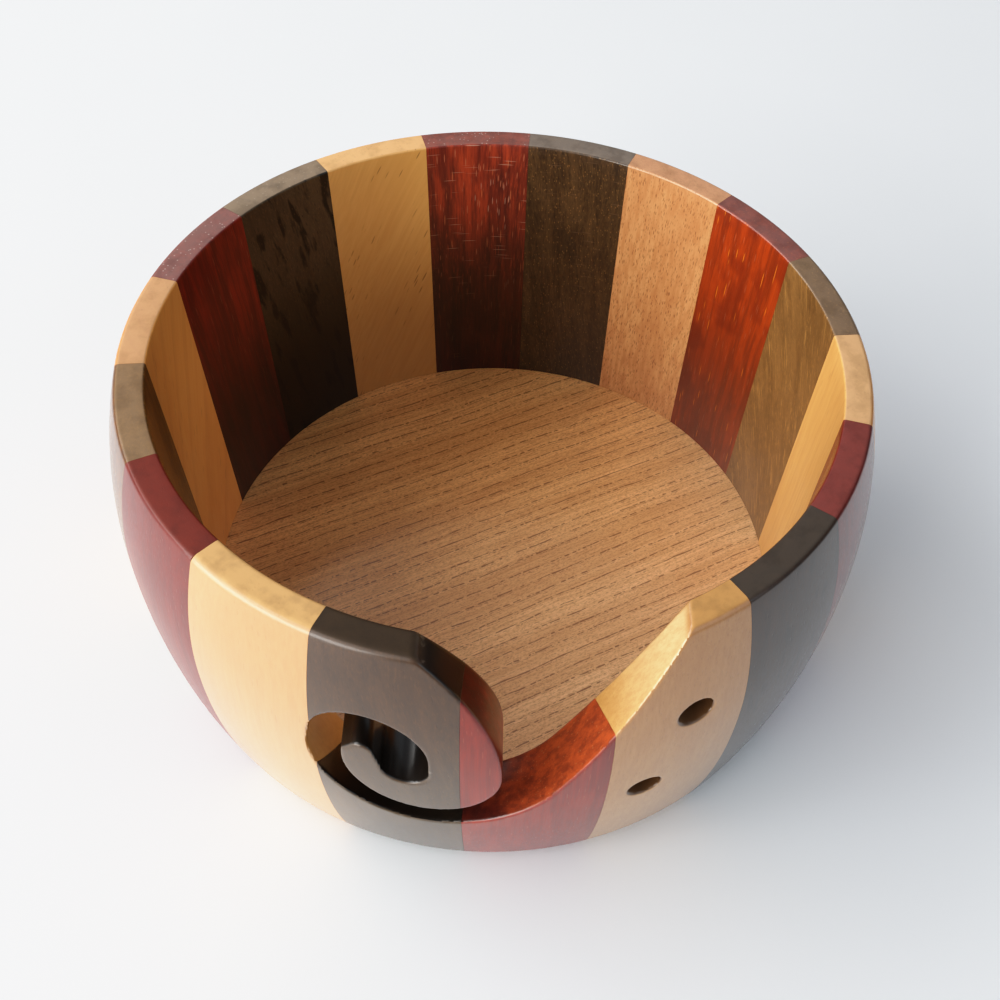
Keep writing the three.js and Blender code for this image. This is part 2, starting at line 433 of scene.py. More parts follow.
def wall_field(x, y, z):
    """Signed distance to the wall with the cut and the holes taken out, negative in the wood."""
    rho = np.hypot(x, y)
    centre, arc = outer_centre(z)
    outer = np.hypot(rho - centre, z - WIDEST_Z) - arc
    slope = (INNER_RIM_R - INNER_FLOOR_R) / (RIM_Z - FLOOR_Z)
    inner = (inner_radius(z) - rho) / math.hypot(1, slope)
    field = round_max(outer, z - RIM_Z, RIM_ROUND_R)
    field = round_max(field, -z, FOOT_ROUND_R)
    rabbet = np.maximum(rho - DISC_R, z - FLOOR_Z)
    inside = round_max(inner, z - RIM_Z, RIM_INNER_ROUND_R)
    field = np.maximum(np.maximum(field, inside), -rabbet)
    field = round_max(field, -cut_distance(x, z), CUT_EDGE_R)
    for hx, hz in HOLES:
        hole = np.hypot(x - hx, z - hz) - HOLE_R
        field = round_max(field, -hole, HOLE_EDGE_R)
    return field


# --- surface from the field -----------------------------------------------------


def to_xyz(angle, rho, z):
    """x, y and z of points at an angle in radians, a radius and a height."""
    return -rho * np.sin(angle), -rho * np.cos(angle), z


def field_grid(start, end):
    """Field on a grid of angle, radius and height between two angles in degrees."""
    angles = np.radians(np.arange(start, end, math.degrees(CELL / FIELD_MEAN_R)))
    rhos = np.arange(INNER_FLOOR_R - FIELD_RADIUS_MARGIN, WIDEST_R + FIELD_RADIUS_MARGIN, CELL)
    zs = np.arange(-FIELD_HEIGHT_MARGIN, RIM_Z + FIELD_HEIGHT_MARGIN, CELL)
    a, r, z = np.meshgrid(angles, rhos, zs, indexing="ij")
    return (angles, rhos, zs), wall_field(*to_xyz(a, r, z))


def net_vertices(field):
    """One vertex in each cell that the surface crosses, at the mean of its edge crossings."""
    shape = tuple(n - 1 for n in field.shape)
    total = np.zeros(shape + (3,))
    count = np.zeros(shape)
    corners = [(i, j, k) for i in (0, 1) for j in (0, 1) for k in (0, 1)]

    def at_corner(corner):
        return field[tuple(slice(c, c + size) for c, size in zip(corner, shape))]

    for a in corners:
        for axis in range(3):
            if a[axis]:
                continue
            b = tuple(v + (1 if n == axis else 0) for n, v in enumerate(a))
            fa, fb = at_corner(a), at_corner(b)
            crossed = (fa < 0) != (fb < 0)
            share = np.where(crossed, fa / np.where(crossed, fa - fb, 1), 0)
            for n in range(3):
                at = a[n] + share if n == axis else a[n]
                total[..., n] += np.where(crossed, at, 0)
            count += crossed
    cells = np.argwhere(count > 0)
    ids = np.full(shape, -1)
    ids[tuple(cells.T)] = np.arange(len(cells))
    places = cells + total[tuple(cells.T)] / count[tuple(cells.T)][:, None]
    return ids, places


def net_faces(field, ids):
    """A quad round every grid edge that the surface crosses."""
    quads = []
    for axis in range(3):
        u, v = (axis + 1) % 3, (axis + 2) % 3
        ahead = np.roll(field, -1, axis=axis)
        crossed = (field < 0) != (ahead < 0)
        at = np.argwhere(crossed)
        limit = np.array(field.shape) - 1
        keep = (at[:, axis] < limit[axis]) & (at[:, u] > 0) & (at[:, v] > 0)
        keep &= (at[:, u] < limit[u]) & (at[:, v] < limit[v])
        at = at[keep]
        step_u, step_v = np.eye(3, dtype=int)[u], np.eye(3, dtype=int)[v]
        around = [at, at - step_u, at - step_u - step_v, at - step_v]
        quad = np.stack([ids[tuple(p.T)] for p in around], axis=1)
        solid = field[tuple(at.T)] < 0
        quads.append(np.where(solid[:, None], quad, quad[:, ::-1]))
    return np.concatenate(quads)


def onto_surface(points, rounds=5, h=0.01):
    """Moves points along the field's slope until they lie on the surface."""
    for _ in range(rounds):
        value = wall_field(*points.T)
        slope = np.empty_like(points)
        for n in range(3):
            step = np.zeros(3)
            step[n] = h
            ahead = wall_field(*(points + step).T)
            behind = wall_field(*(points - step).T)
            slope[:, n] = (ahead - behind) / (2 * h)
        size = np.maximum((slope ** 2).sum(axis=1), 0.25)
        move = slope * (value / size)[:, None]
        length = np.maximum(np.linalg.norm(move, axis=1), 1e-9)
        points = points - move * np.minimum(1, CELL / length)[:, None]
    return points


def front_wall(start, end):
    """bmesh of the cut part of the wall between two angles, open at its two ends."""
    (angles, rhos, zs), field = field_grid(start, end)
    ids, places = net_vertices(field)
    quads = net_faces(field, ids)
    angle = np.interp(places[:, 0], np.arange(len(angles)), angles)
    rho = np.interp(places[:, 1], np.arange(len(rhos)), rhos)
    z = np.interp(places[:, 2], np.arange(len(zs)), zs)
    points = onto_surface(np.stack(to_xyz(angle, rho, z), axis=1))
    mesh = bpy.data.meshes.new("front_wall")
    mesh.from_pydata((points * MM).tolist(), [], quads.tolist())
    mesh.validate()
    bm = bmesh.new()
    bm.from_mesh(mesh)
    bpy.data.meshes.remove(mesh)
    return bm


def cut_off(bm, degrees, side):
    """Cuts bm at a joint plane and closes it there; side 1 keeps the angles past it, -1 before."""
    a = math.radians(degrees)
    normal = Vector((-math.cos(a), math.sin(a), 0)) * side
    geometry = bm.verts[:] + bm.edges[:] + bm.faces[:]
    made = bmesh.ops.bisect_plane(
        bm, geom=geometry, dist=1e-7, plane_co=normal * (HALF_GLUE_LINE * MM),
        plane_no=normal, clear_inner=True)
    edges = [e for e in made["geom_cut"] if isinstance(e, bmesh.types.BMEdge) and e.is_boundary]
    bmesh.ops.holes_fill(bm, edges=edges, sides=0)


def islands(bm):
    """Sets of faces that hang together, lowest first."""
    left = set(bm.faces)
    found = []
    while left:
        todo = [left.pop()]
        group = set(todo)
        while todo:
            face = todo.pop()
            for edge in face.edges:
                for other in edge.link_faces:
                    if other in left:
                        left.remove(other)
                        group.add(other)
                        todo.append(other)
        found.append(group)
    found.sort(key=lambda g: min(v.co.z for f in g for v in f.verts))
    return found


def keep_only(bm, group):
    """Deletes every face outside group, and the points that leaves loose."""
    bmesh.ops.delete(bm, geom=[f for f in bm.faces if f not in group], context="FACES")
    loose = [v for v in bm.verts if not v.link_faces]
    bmesh.ops.delete(bm, geom=loose, context="VERTS")


def front_staves(number, names):
    """Objects of one front stave: a whole one has one name, a cut one a foot and an upper part."""
    start = FIRST_JOINT_ANGLE + (number - 1) * STAVE_ANGLE
    if start > 180:
        start -= 360
    bm = front_wall(start - FIELD_ANGLE_MARGIN, start + STAVE_ANGLE + FIELD_ANGLE_MARGIN)
    cut_off(bm, start, 1)
    cut_off(bm, start + STAVE_ANGLE, -1)
    objects = []
    for index, name in enumerate(names):
        part = bm.copy()
        keep_only(part, islands(part)[index])
        bmesh.ops.recalc_face_normals(part, faces=part.faces)
        mesh = bpy.data.meshes.new(name)
        part.to_mesh(mesh)
        part.free()
        objects.append(finished_object(name, mesh, 50))
    bm.free()
    return objects


# --- base disc ------------------------------------------------------------------


def base_disc(name, segments=180):
    """The floor of the bowl, a turned disc with eased edges."""
    r = DISC_R - DISC_FIT_GAP
    low, high = DISC_LOW_EDGE_R, DISC_HIGH_EDGE_R
    outline = [(r - low, 0.0)] + arc_points(r - low, low, low, -60, 0, 4)
    outline += arc_points(r - high, DISC_TOP_Z - high, high, 0, 90, 3)
    rings = [r * share for share in (0.97, 0.9, 0.75, 0.5, 0.25, 0.08)]
    rows = outline + [(ring, DISC_TOP_Z) for ring in rings]
    last_top = len(rows) - 1
    rows += [(ring, 0.0) for ring in reversed(rings)]
    vertices = []
    for i in range(segments):
        a = 2 * math.pi * i / segments
        vertices += [(radius * math.cos(a), radius * math.sin(a), z) for radius, z in rows]
    count = len(rows)
    faces = []
    for i in range(segments):
        a, b = i * count, (i + 1) % segments * count
        for j in range(count):
            k = (j + 1) % count
            if j != last_top:
                faces.append((a + j, b + j, b + k, a + k))
    faces.append(tuple(i * count + last_top for i in range(segments)))
    faces.append(tuple(i * count + last_top + 1 for i in reversed(range(segments))))
    obj = mesh_object(name, vertices, faces)
    fix_normals(obj.data)
    return obj


# --- wood materials ---------------------------------------------------------------


class Nodes:
    """Short calls that build one material's nodes; cut says where the wood's cut faces are."""

    def __init__(self, name):
        self.material = bpy.data.materials.new(name)
        self.material.use_nodes = True
        self.tree = self.material.node_tree
        self.shader = self.tree.nodes["Principled BSDF"]
        self.cut = 0.0

    def put(self, socket, value):
        if isinstance(value, bpy.types.NodeSocket):
            self.tree.links.new(value, socket)
        elif isinstance(value, tuple) and socket.type == "RGBA":
            socket.default_value = (*value, 1.0)
        else:
            socket.default_value = value

    def node(self, kind, inputs, **settings):
        node = self.tree.nodes.new("ShaderNode" + kind)
        for key, value in settings.items():
            setattr(node, key, value)
        for key, value in inputs.items():
            self.put(node.inputs[key], value)
        return node

    def object_place(self):
        return self.node("TexCoord", {}).outputs["Object"]

    def math(self, operation, a, b=0.0):
        return self.node("Math", {0: a, 1: b}, operation=operation).outputs[0]

    def times(self, a, b):
        return self.math("MULTIPLY", a, b)

    def vector(self, operation, a, b=(0.0, 0.0, 0.0)):
        return self.node("VectorMath", {0: a, 1: b}, operation=operation)

    def scaled(self, place, x, y, z):
        return self.vector("MULTIPLY", place, (x, y, z)).outputs[0]

    def split(self, place):
        return self.node("SeparateXYZ", {0: place}).outputs

    def noise(self, place, detail=2.0, roughness=0.5):
        settings = {"Vector": place, "Scale": 1.0, "Detail": detail, "Roughness": roughness}
        return self.node("TexNoise", settings).outputs["Fac"]

    def ramp(self, value, low, high):
        """0 below low, 1 above high and smooth between; low may be above high."""
        settings = {"Value": value, "From Min": low, "From Max": high}
        return self.node("MapRange", settings, interpolation_type="SMOOTHSTEP").outputs["Result"]

    def mix(self, share, a, b, blend="MIX"):
        node = self.node("Mix", {}, data_type="RGBA", blend_type=blend)
        factor, color_a, color_b = node.inputs[0], node.inputs[6], node.inputs[7]
        self.put(factor, share)
        self.put(color_a, a)
        self.put(color_b, b)
        return node.outputs[2]

    def specks(self, place, size, share=1.0):
        """Soft round specks, one in some of the cells of place, stretched as place is."""
        cells = self.node("TexVoronoi", {"Vector": place, "Scale": 1.0, "Randomness": 1.0})
        speck = self.ramp(cells.outputs["Distance"], size, size * 0.55)
        chance = self.split(cells.outputs["Color"])[0]
        return self.times(speck, self.math("LESS_THAN", chance, share))


def grain_place(n, turn, lean, seed):
    """Millimetres with x across the board, y through it and z along the grain.

    The first result is measured from the bowl's axis, the second from a place of its own.
    """
    rng = random.Random(seed)
    shift = tuple(rng.uniform(-400, 400) for _ in range(3))
    turned = n.node("Mapping", {
        "Vector": n.object_place(), "Scale": (1000.0, 1000.0, 1000.0),
        "Rotation": (0.0, 0.0, math.radians(turn))}).outputs[0]
    board = n.node("Mapping", {
        "Vector": turned, "Rotation": (0.0, math.radians(lean), 0.0)}).outputs[0]
    moved = n.vector("ADD", board, shift).outputs[0]
    return board, moved


def wavy(n, place, bend, along=0.02, across=0.04):
    """place bent sideways by up to about bend, slowly along the grain."""
    source = n.scaled(place, across, across, along)
    node = n.node("TexNoise", {"Vector": source, "Scale": 1.0, "Detail": 2.0})
    push = n.vector("SUBTRACT", node.outputs["Color"], (0.5, 0.5, 0.5)).outputs[0]
    push = n.scaled(push, bend * 2, bend * 2, 0.0)
    return n.vector("ADD", place, push).outputs[0]


def fade(n, length, ends):
    """0 to 1 between two places, given in millimetres, of a length in metres."""
    return n.ramp(length, ends[0] * MM, ends[1] * MM)


def growth_rings(n, board, pith_angle, pith_distance, spacing):
    """0 to 1 across each growth ring round a far pith, as a saw-tooth."""
    a = math.radians(pith_angle)
    pith = (pith_distance * math.cos(a), pith_distance * math.sin(a) - MEAN_WALL_R, 0.0)
    from_pith = n.scaled(n.vector("SUBTRACT", board, pith).outputs[0], 1.0, 1.0, 0.02)
    radius = n.vector("LENGTH", from_pith).outputs["Value"]
    drift = n.noise(n.scaled(board, 0.03, 0.03, 0.008))
    rings = n.math("ADD", n.math("DIVIDE", radius, spacing), n.times(drift, 3.0))
    return n.math("FRACT", rings)


# Each wood takes the nodes, the place from the bowl's axis, the place of its own and the look, and
# gives its colour, its relief and its finest grain. Only maple, with its rings, needs the first place.


def maple(n, board, place, look):
    """Pale fine wood with faint rings and a few short flecks."""
    bent = wavy(n, place, 2.5)
    fibre = n.noise(n.scaled(bent, 1.3, 1.3, 0.05), 5.0, 0.6)
    cloud = n.noise(n.scaled(place, 0.06, 0.06, 0.03), 3.0)
    ring = growth_rings(n, wavy(n, board, 1.5), *look.pith, MAPLE_RING)
    line = n.times(n.ramp(ring, 0.55, 0.93), n.ramp(ring, 1.0, 0.96))
    dark, pale = look.tint(0.68, 0.40, 0.165), look.tint(0.76, 0.48, 0.215)
    color = n.mix(n.ramp(fibre, 0.3, 0.7), dark, pale)
    color = n.mix(n.times(n.ramp(cloud, 0.4, 0.7), 0.45), color, look.tint(0.60, 0.32, 0.115))
    color = n.mix(n.times(line, look.rings), color, look.tint(0.42, 0.20, 0.07))
    color = look.calmed(n, color, look.tint(0.71, 0.43, 0.18))
    patch = n.ramp(n.noise(n.scaled(place, 0.09, 0.09, 0.05), 2.0), 0.42, 0.6)
    fleck = n.times(n.specks(n.scaled(bent, 1.15, 1.15, 0.14), 0.26, 0.6), patch)
    color = n.mix(n.times(fleck, look.flecks), color, look.tint(0.24, 0.11, 0.035))
    fine = n.noise(n.scaled(bent, 7.0, 7.0, 0.5), 3.0, 0.6)
    height = n.math("SUBTRACT", n.times(fine, 0.4), fleck)
    return color, height, fine


def beech(n, board, place, look):
    """Orange-tan wood with many short dark rays."""
    bent = wavy(n, place, 1.6)
    fibre = n.noise(n.scaled(bent, 1.0, 1.0, 0.16), 5.0, 0.65)
    band = n.noise(n.scaled(bent, 0.13, 0.13, 0.012), 3.0)
    dark, pale = look.tint(0.50, 0.24, 0.10), look.tint(0.64, 0.36, 0.165)
    color = n.mix(n.ramp(fibre, 0.32, 0.68), dark, pale)
    color = n.mix(n.times(n.ramp(band, 0.4, 0.7), 0.35), color, look.tint(0.45, 0.20, 0.08))
    rays = n.specks(n.scaled(bent, 1.9, 1.9, 0.38), 0.29, 0.95)
    fainter = n.specks(n.scaled(bent, 2.5, 2.5, 0.7), 0.32, 0.9)
    marks = n.math("MAXIMUM", rays, n.times(fainter, 0.6))
    color = look.calmed(n, color, look.tint(0.565, 0.30, 0.13))
    color = n.mix(n.times(marks, look.flecks), color, look.tint(0.17, 0.06, 0.02))
    fine = n.noise(n.scaled(bent, 6.0, 6.0, 0.6), 3.0, 0.6)
    height = n.math("SUBTRACT", n.times(fine, 0.4), rays)
    return color, height, fine


def dashed_lines(n, place, spacing, width, along, gaps):
    """Thin broken lines along the grain, each row of dashes shifted by its own amount."""
    _, y, z = n.split(place)
    rows = n.math("DIVIDE", y, spacing)
    row = n.math("FLOOR", rows)
    jump = n.node("TexWhiteNoise", {"W": row}, noise_dimensions="1D").outputs["Value"]
    middle = n.math("ADD", n.times(n.math("SUBTRACT", jump, 0.5), 0.35), 0.5)
    off_line = n.math("ABSOLUTE", n.math("SUBTRACT", n.math("FRACT", rows), middle))
    swell = n.ramp(n.noise(n.scaled(place, 0.25, 0.25, 0.35), 2.0), 0.25, 0.75)
    off_line = n.math("DIVIDE", off_line, n.math("ADD", n.times(swell, 1.2), 0.45))
    line = n.ramp(off_line, width / spacing, width / spacing * 0.4)
    run = n.math("ADD", n.times(z, along), n.times(jump, 500.0))
    dash = n.noise(n.node("CombineXYZ", {0: run, 1: n.times(row, 3.7)}).outputs[0], 1.0)
    return n.times(line, n.ramp(dash, gaps - 0.04, gaps + 0.04))


def beech_board(n, board, place, look):
    """Beech sawn so that its pores show as long rows of dashes."""
    bent = wavy(n, wavy(n, place, 1.8, 0.012, 0.02), 0.45, 0.12, 0.2)
    fibre = n.noise(n.scaled(bent, 1.6, 1.6, 0.05), 5.0, 0.65)
    band = n.noise(n.scaled(bent, 0.12, 0.12, 0.003), 4.0)
    grit = n.noise(n.scaled(place, 3.2, 3.2, 1.3), 3.0, 0.7)
    dark, pale = look.tint(0.50, 0.26, 0.115), look.tint(0.66, 0.38, 0.185)
    color = n.mix(n.ramp(fibre, 0.3, 0.7), dark, pale)
    color = n.mix(n.times(n.ramp(band, 0.42, 0.6), 0.45), color, look.tint(0.43, 0.205, 0.08))
    color = n.mix(n.times(n.ramp(grit, 0.46, 0.68), 0.65), color, look.tint(0.33, 0.15, 0.058))
    rows = dashed_lines(n, bent, 3.1, 0.18, 0.65, 0.46)
    beside = n.vector("ADD", bent, (0.0, 0.5, 61.0)).outputs[0]
    second = dashed_lines(n, beside, 3.1, 0.13, 1.0, 0.55)
    between = n.vector("ADD", bent, (0.0, 40.7, 9.0)).outputs[0]
    fainter = dashed_lines(n, between, 0.95, 0.11, 1.5, 0.50)
    marks = n.math("MAXIMUM", rows, n.times(second, 0.55))
    marks = n.math("MAXIMUM", marks, n.times(fainter, 0.40))
    color = n.mix(n.times(marks, look.flecks), color, look.tint(0.11, 0.036, 0.008))
    # Painted light: the floor paler and cooler towards its lit front right.
    x, y, _ = n.split(n.object_place())
    lit_side = fade(n, n.math("SUBTRACT", x, y), FLOOR_LIGHT_FADE)
    color = n.mix(1.0, color, n.mix(lit_side, FLOOR_SHADED_TINT, FLOOR_LIT_TINT), "MULTIPLY")
    height = n.math("SUBTRACT", n.times(grit, 0.5), marks)
    return color, height, grit


def padauk(n, board, place, look):
    """Deep red wood with straight dark streaks, soft blotches and long pale pores."""
    bent = wavy(n, place, 1.4, 0.02, 0.03)
    streak = n.noise(n.scaled(bent, 0.55, 0.55, 0.012), 6.0, 0.62)
    fine = n.noise(n.scaled(bent, 3.2, 3.2, 0.05), 4.0, 0.6)
    blotch = n.noise(n.scaled(bent, 0.16, 0.16, 0.10), 2.0)
    cloud = n.noise(n.scaled(place, 0.06, 0.06, 0.03), 3.0)
    dark, red = look.tint(0.10, 0.012, 0.006), look.tint(0.29, 0.034, 0.011)
    color = n.mix(n.ramp(streak, 0.36, 0.64), dark, red)
    color = n.mix(n.times(n.ramp(cloud, 0.42, 0.66), look.dark), color, look.tint(0.04, 0.006, 0.004))
    color = n.mix(n.times(n.ramp(fine, 0.52, 0.72), 0.4), color, look.tint(0.44, 0.060, 0.018))
    color = n.mix(n.times(n.ramp(fine, 0.46, 0.30), 0.5), color, look.tint(0.045, 0.006, 0.004))
    color = look.calmed(n, color, look.tint(0.22, 0.026, 0.010))
    color = n.mix(n.times(n.ramp(blotch, 0.50, 0.66), look.flecks), color, look.tint(0.12, 0.012, 0.006))
    lines = n.specks(n.scaled(bent, 1.3, 1.3, 0.045), 0.20, 0.6)
    color = n.mix(n.times(lines, look.lines), color, look.tint(0.62, 0.17, 0.06))
    pores = n.specks(n.scaled(bent, 1.6, 1.6, 0.11), 0.22, 0.6)
    color = n.mix(n.times(pores, look.pores), color, (0.50, 0.17, 0.09))
    height = n.math("SUBTRACT", n.times(fine, 0.5), pores)
    return color, height, fine


def walnut(n, board, place, look):
    """Dark brown wood with drifting figure, dark pores and small bright flecks."""
    bent = wavy(n, place, 3.0, 0.025, 0.04)
    streak = n.noise(n.scaled(bent, 0.38, 0.38, 0.03), 5.0, 0.6)
    figure = n.noise(n.scaled(place, 0.36, 0.36, 0.075), 3.0, 0.55)
    cloud = n.noise(n.scaled(place, 0.05, 0.05, 0.03), 2.0)
    fine = n.noise(n.scaled(bent, 2.6, 2.6, 0.5), 5.0, 0.7)
    dark, pale = look.tint(0.060, 0.036, 0.018), look.tint(0.115, 0.072, 0.038)
    color = n.mix(n.ramp(streak, 0.34, 0.66), dark, pale)
    color = n.mix(n.times(n.ramp(cloud, 0.42, 0.62), 0.45), color, look.tint(0.045, 0.028, 0.014))
    color = n.mix(n.times(n.ramp(fine, 0.52, 0.66), 0.5), color, look.tint(0.20, 0.125, 0.060))
    color = n.mix(n.times(n.ramp(fine, 0.48, 0.34), 0.6), color, look.tint(0.016, 0.010, 0.005))
    color = look.calmed(n, color, look.tint(0.085, 0.054, 0.028))
    color = n.mix(n.times(n.ramp(figure, 0.53, 0.64), look.dark), color, look.tint(0.008, 0.006, 0.004))
    lines = n.noise(n.scaled(bent, 1.6, 1.6, 0.045), 4.0, 0.6)
    color = n.mix(n.times(n.ramp(lines, 0.56, 0.68), look.lines), color, look.tint(0.24, 0.155, 0.075))
    flecks = n.specks(n.scaled(bent, 1.7, 1.7, 0.9), 0.28, 0.7)
    color = n.mix(n.times(flecks, look.flecks), color, look.tint(0.30, 0.19, 0.09))
    pores = n.specks(n.scaled(bent, 1.4, 1.4, 0.25), 0.22, 0.5)
    color = n.mix(n.times(pores, look.pores), color, look.tint(0.014, 0.008, 0.005))
    height = n.math("SUBTRACT", n.times(fine, 0.5), pores)
    return color, height, fine


class Look:
    """How one board differs from the others of its kind.

    tone multiplies its colours. rim is the colour of its sawn top, greyed and with a painted sheen of
    the bright room in it. lean tilts its grain, in degrees. calm is how far its figure is smoothed
    away. low is how far painted shade darkens the inside towards the floor, and upper_shade how far
    painted shade darkens the outside under the rim. pith is the heart of its tree, as an angle and
    a distance from the board. gloss is the weight of the finish. dust is the pale specks on the
    rim. The others say how strongly each mark shows.
    """

    def __init__(self, seed, tone=(1.0, 1.0, 1.0), rim=None, lean=0.0, calm=0.0, low=0.0,
                 pith=(0.0, 90.0), rings=0.25, dark=0.4, pores=0.5, lines=0.0, flecks=0.5,
                 scratches=0.0, dust=0.0, upper_shade=1.0, gloss=0.9):
        self.seed = seed
        self.tone = tone
        self.rim = rim
        self.lean = lean
        self.calm = calm
        self.low = low
        self.pith = pith
        self.rings = rings
        self.dark = dark
        self.pores = pores
        self.lines = lines
        self.flecks = flecks
        self.scratches = scratches
        self.dust = dust
        self.upper_shade = upper_shade
        self.gloss = gloss

    def tint(self, *color):
        return tuple(min(0.95, c * t) for c, t in zip(color, self.tone))

    def calmed(self, n, color, mean):
        """color smoothed towards its mean, less so on the cut's faces."""
        share = n.math("SUBTRACT", self.calm, n.times(n.cut, self.calm * 0.4))
        return n.mix(share, color, mean)


# In each look, the colour after the tone is the rim top's: greyed wood with a painted sheen in it
STAVE_LOOKS = {
    1: Look(1, (1.00, 0.92, 0.75), (0.025, 0.012, 0.004), lean=8, calm=0.6,
            dark=0.15, pores=0.15, flecks=0.0, gloss=0.77),
    2: Look(2, (0.93, 0.84, 0.80), (0.745, 0.43, 0.165), calm=0.6,
            pith=(20, 90), rings=0.06, flecks=0.1, upper_shade=0.3),
    3: Look(3, (0.95, 0.70, 0.65), (0.172, 0.026, 0.014), lean=3, calm=0.75,
            dark=0.1, pores=0.1, flecks=0.1, gloss=0.55),
    4: Look(4, (2.05, 1.50, 0.55), (0.30, 0.19, 0.106), lean=6, calm=0.3,
            dark=0.1, pores=0.2, lines=0.3, flecks=0.0),
    5: Look(5, (1.32, 0.98, 0.60), (0.52, 0.30, 0.18), lean=25, calm=0.3,
            pith=(95, 50), rings=0.2, flecks=0.25),
    6: Look(6, (1.25, 0.84, 1.00), (0.28, 0.165, 0.147), lean=-3, calm=0.2, low=0.9,
            dark=0.4, pores=0.3, flecks=0.4, dust=0.35, gloss=0.5),
    7: Look(7, (1.03, 1.06, 1.00), (0.385, 0.284, 0.199), lean=-9, calm=0.5, low=0.97,
            dark=1.0, flecks=0.15, dust=0.15, gloss=0.3),
    8: Look(8, (1.18, 1.02, 0.72), (0.88, 0.505, 0.248), lean=28, calm=0.35, low=0.4,
            pith=(200, 90), rings=0.06, flecks=0.65),
    9: Look(9, (1.45, 1.70, 1.90), (0.273, 0.124, 0.104), lean=1, low=0.95,
            dark=0.6, pores=0.8, lines=0.4, flecks=0.3, scratches=0.7, dust=0.35, gloss=0.7),
    10: Look(10, (0.86, 0.73, 0.52), (0.273, 0.225, 0.188), lean=-6, low=0.35,
             dark=0.3, flecks=0.6, scratches=0.12),
    11: Look(11, (1.16, 1.05, 0.96), (0.592, 0.306, 0.183), lean=2, flecks=0.62),
    12: Look(12, (1.60, 1.60, 0.38), (0.202, 0.113, 0.106), lean=-1, calm=0.4, low=0.45,
             dark=0.3, pores=0.3, lines=0.6, flecks=0.6, scratches=0.05),
    13: Look(13, (2.45, 1.95, 1.18), (0.208, 0.149, 0.103), lean=-30, calm=0.45,
             dark=0.1, pores=0.2, lines=0.45, flecks=0.1),
    14: Look(14, (1.08, 0.93, 0.67), (0.64, 0.383, 0.216), calm=0.3,
             pith=(140, 70), rings=0.18, flecks=0.3),
    15: Look(15, (0.82, 0.48, 0.34), (0.225, 0.06, 0.05), calm=0.6,
             dark=0.3, pores=0.2, flecks=0.2),
    16: Look(16, (0.58, 0.50, 0.45), (0.070, 0.055, 0.043), lean=2, calm=0.6,
             dark=0.3, pores=0.2, flecks=0.0, gloss=0.8),
    17: Look(17, (0.86, 0.84, 0.72), (0.595, 0.302, 0.095), calm=0.6, flecks=0.12, upper_shade=0.45),
    18: Look(18, (1.25, 1.00, 0.95), lean=1, calm=0.6, dark=0.4, pores=0.2, flecks=0.2,
             gloss=0.65),
}
FLOOR_LOOK = Look(30, (1.42, 1.47, 1.42), lean=FLOOR_GRAIN_LEAN, flecks=0.72)
WOODS = {"maple": maple, "beech": beech, "padauk": padauk, "walnut": walnut}


def rim_top(n):
    """1 on the flat top of the rim and 0 elsewhere."""
    up = n.ramp(n.split(n.node("NewGeometry", {}).outputs["Normal"])[2], 0.8, 0.97)
    high = fade(n, n.split(n.object_place())[2], (RIM_Z - 1.2, RIM_Z - 0.2))
    return n.times(up, high)


def cut_face(n):
    """1 on the faces of the cut and the holes, which look neither towards the axis nor away."""
    x, y, z = n.split(n.object_place())
    level = n.node("CombineXYZ", {0: x, 1: y}).outputs[0]
    outward = n.vector("NORMALIZE", level).outputs[0]
    normal = n.node("NewGeometry", {}).outputs["Normal"]
    facing = n.math("ABSOLUTE", n.vector("DOT_PRODUCT", normal, outward).outputs["Value"])
    below_rim = fade(n, z, (RIM_Z, RIM_Z - 2.0))
    inside_height = n.times(below_rim, fade(n, z, CUT_BOTTOM_FADE))
    return n.times(n.ramp(facing, 0.7, 0.35), inside_height)


def shaded_bores(n):
    """1 inside the needle holes, whose walls get painted shade."""
    x, y, z = n.split(n.object_place())
    inside = 0.0
    for hx, hz in HOLES:
        dx, dz = n.math("SUBTRACT", x, hx * MM), n.math("SUBTRACT", z, hz * MM)
        distance = n.math("SQRT", n.math("ADD", n.times(dx, dx), n.times(dz, dz)))
        bore = fade(n, distance, (HOLE_R + 0.4, HOLE_R + 0.1))
        inside = n.math("MAXIMUM", inside, n.times(bore, n.math("LESS_THAN", y, 0.0)))
    return inside


def from_axis(n):
    """Distance from the bowl's axis and height above the table, both in metres."""
    x, y, z = n.split(n.object_place())
    level = n.node("CombineXYZ", {0: x, 1: y}).outputs[0]
    return n.vector("LENGTH", level).outputs["Value"], z


def inner_wall(n):
    """1 on the inside of the wall and 0 on the rim and the outside."""
    return fade(n, from_axis(n)[0], (INNER_RIM_R + 1.2, INNER_RIM_R + 0.4))


def painted_low_shade(n):
    """1 at the foot of the inner wall, where painted shade darkens it, fading out towards the rim."""
    return n.times(inner_wall(n), fade(n, from_axis(n)[1], LOW_SHADE_FADE))


def painted_upper_shade(n):
    """1 on the outside just under the rim, where painted shade darkens the wall, fading out downwards.
    """
    radius, z = from_axis(n)
    outside = fade(n, radius, (INNER_RIM_R + 1.6, INNER_RIM_R + 3.0))
    away = n.math("SUBTRACT", 1.0, n.math("MAXIMUM", rim_top(n), n.cut))
    return n.times(n.times(outside, away), fade(n, z, UPPER_SHADE_FADE))


def painted_slot_shade(n, place):
    """1 down in the yarn slot, where the cut faces get painted shade, and 0 on the open scoop, with an
    uneven edge between.
    """
    x = n.split(n.object_place())[0]
    wave = n.math("SUBTRACT", n.noise(n.scaled(place, 0.3, 0.3, 0.15), 3.0), 0.5)
    return fade(n, n.math("ADD", x, n.times(wave, SLOT_SHADE_WAVE * MM)), SLOT_SHADE_FADE_X)


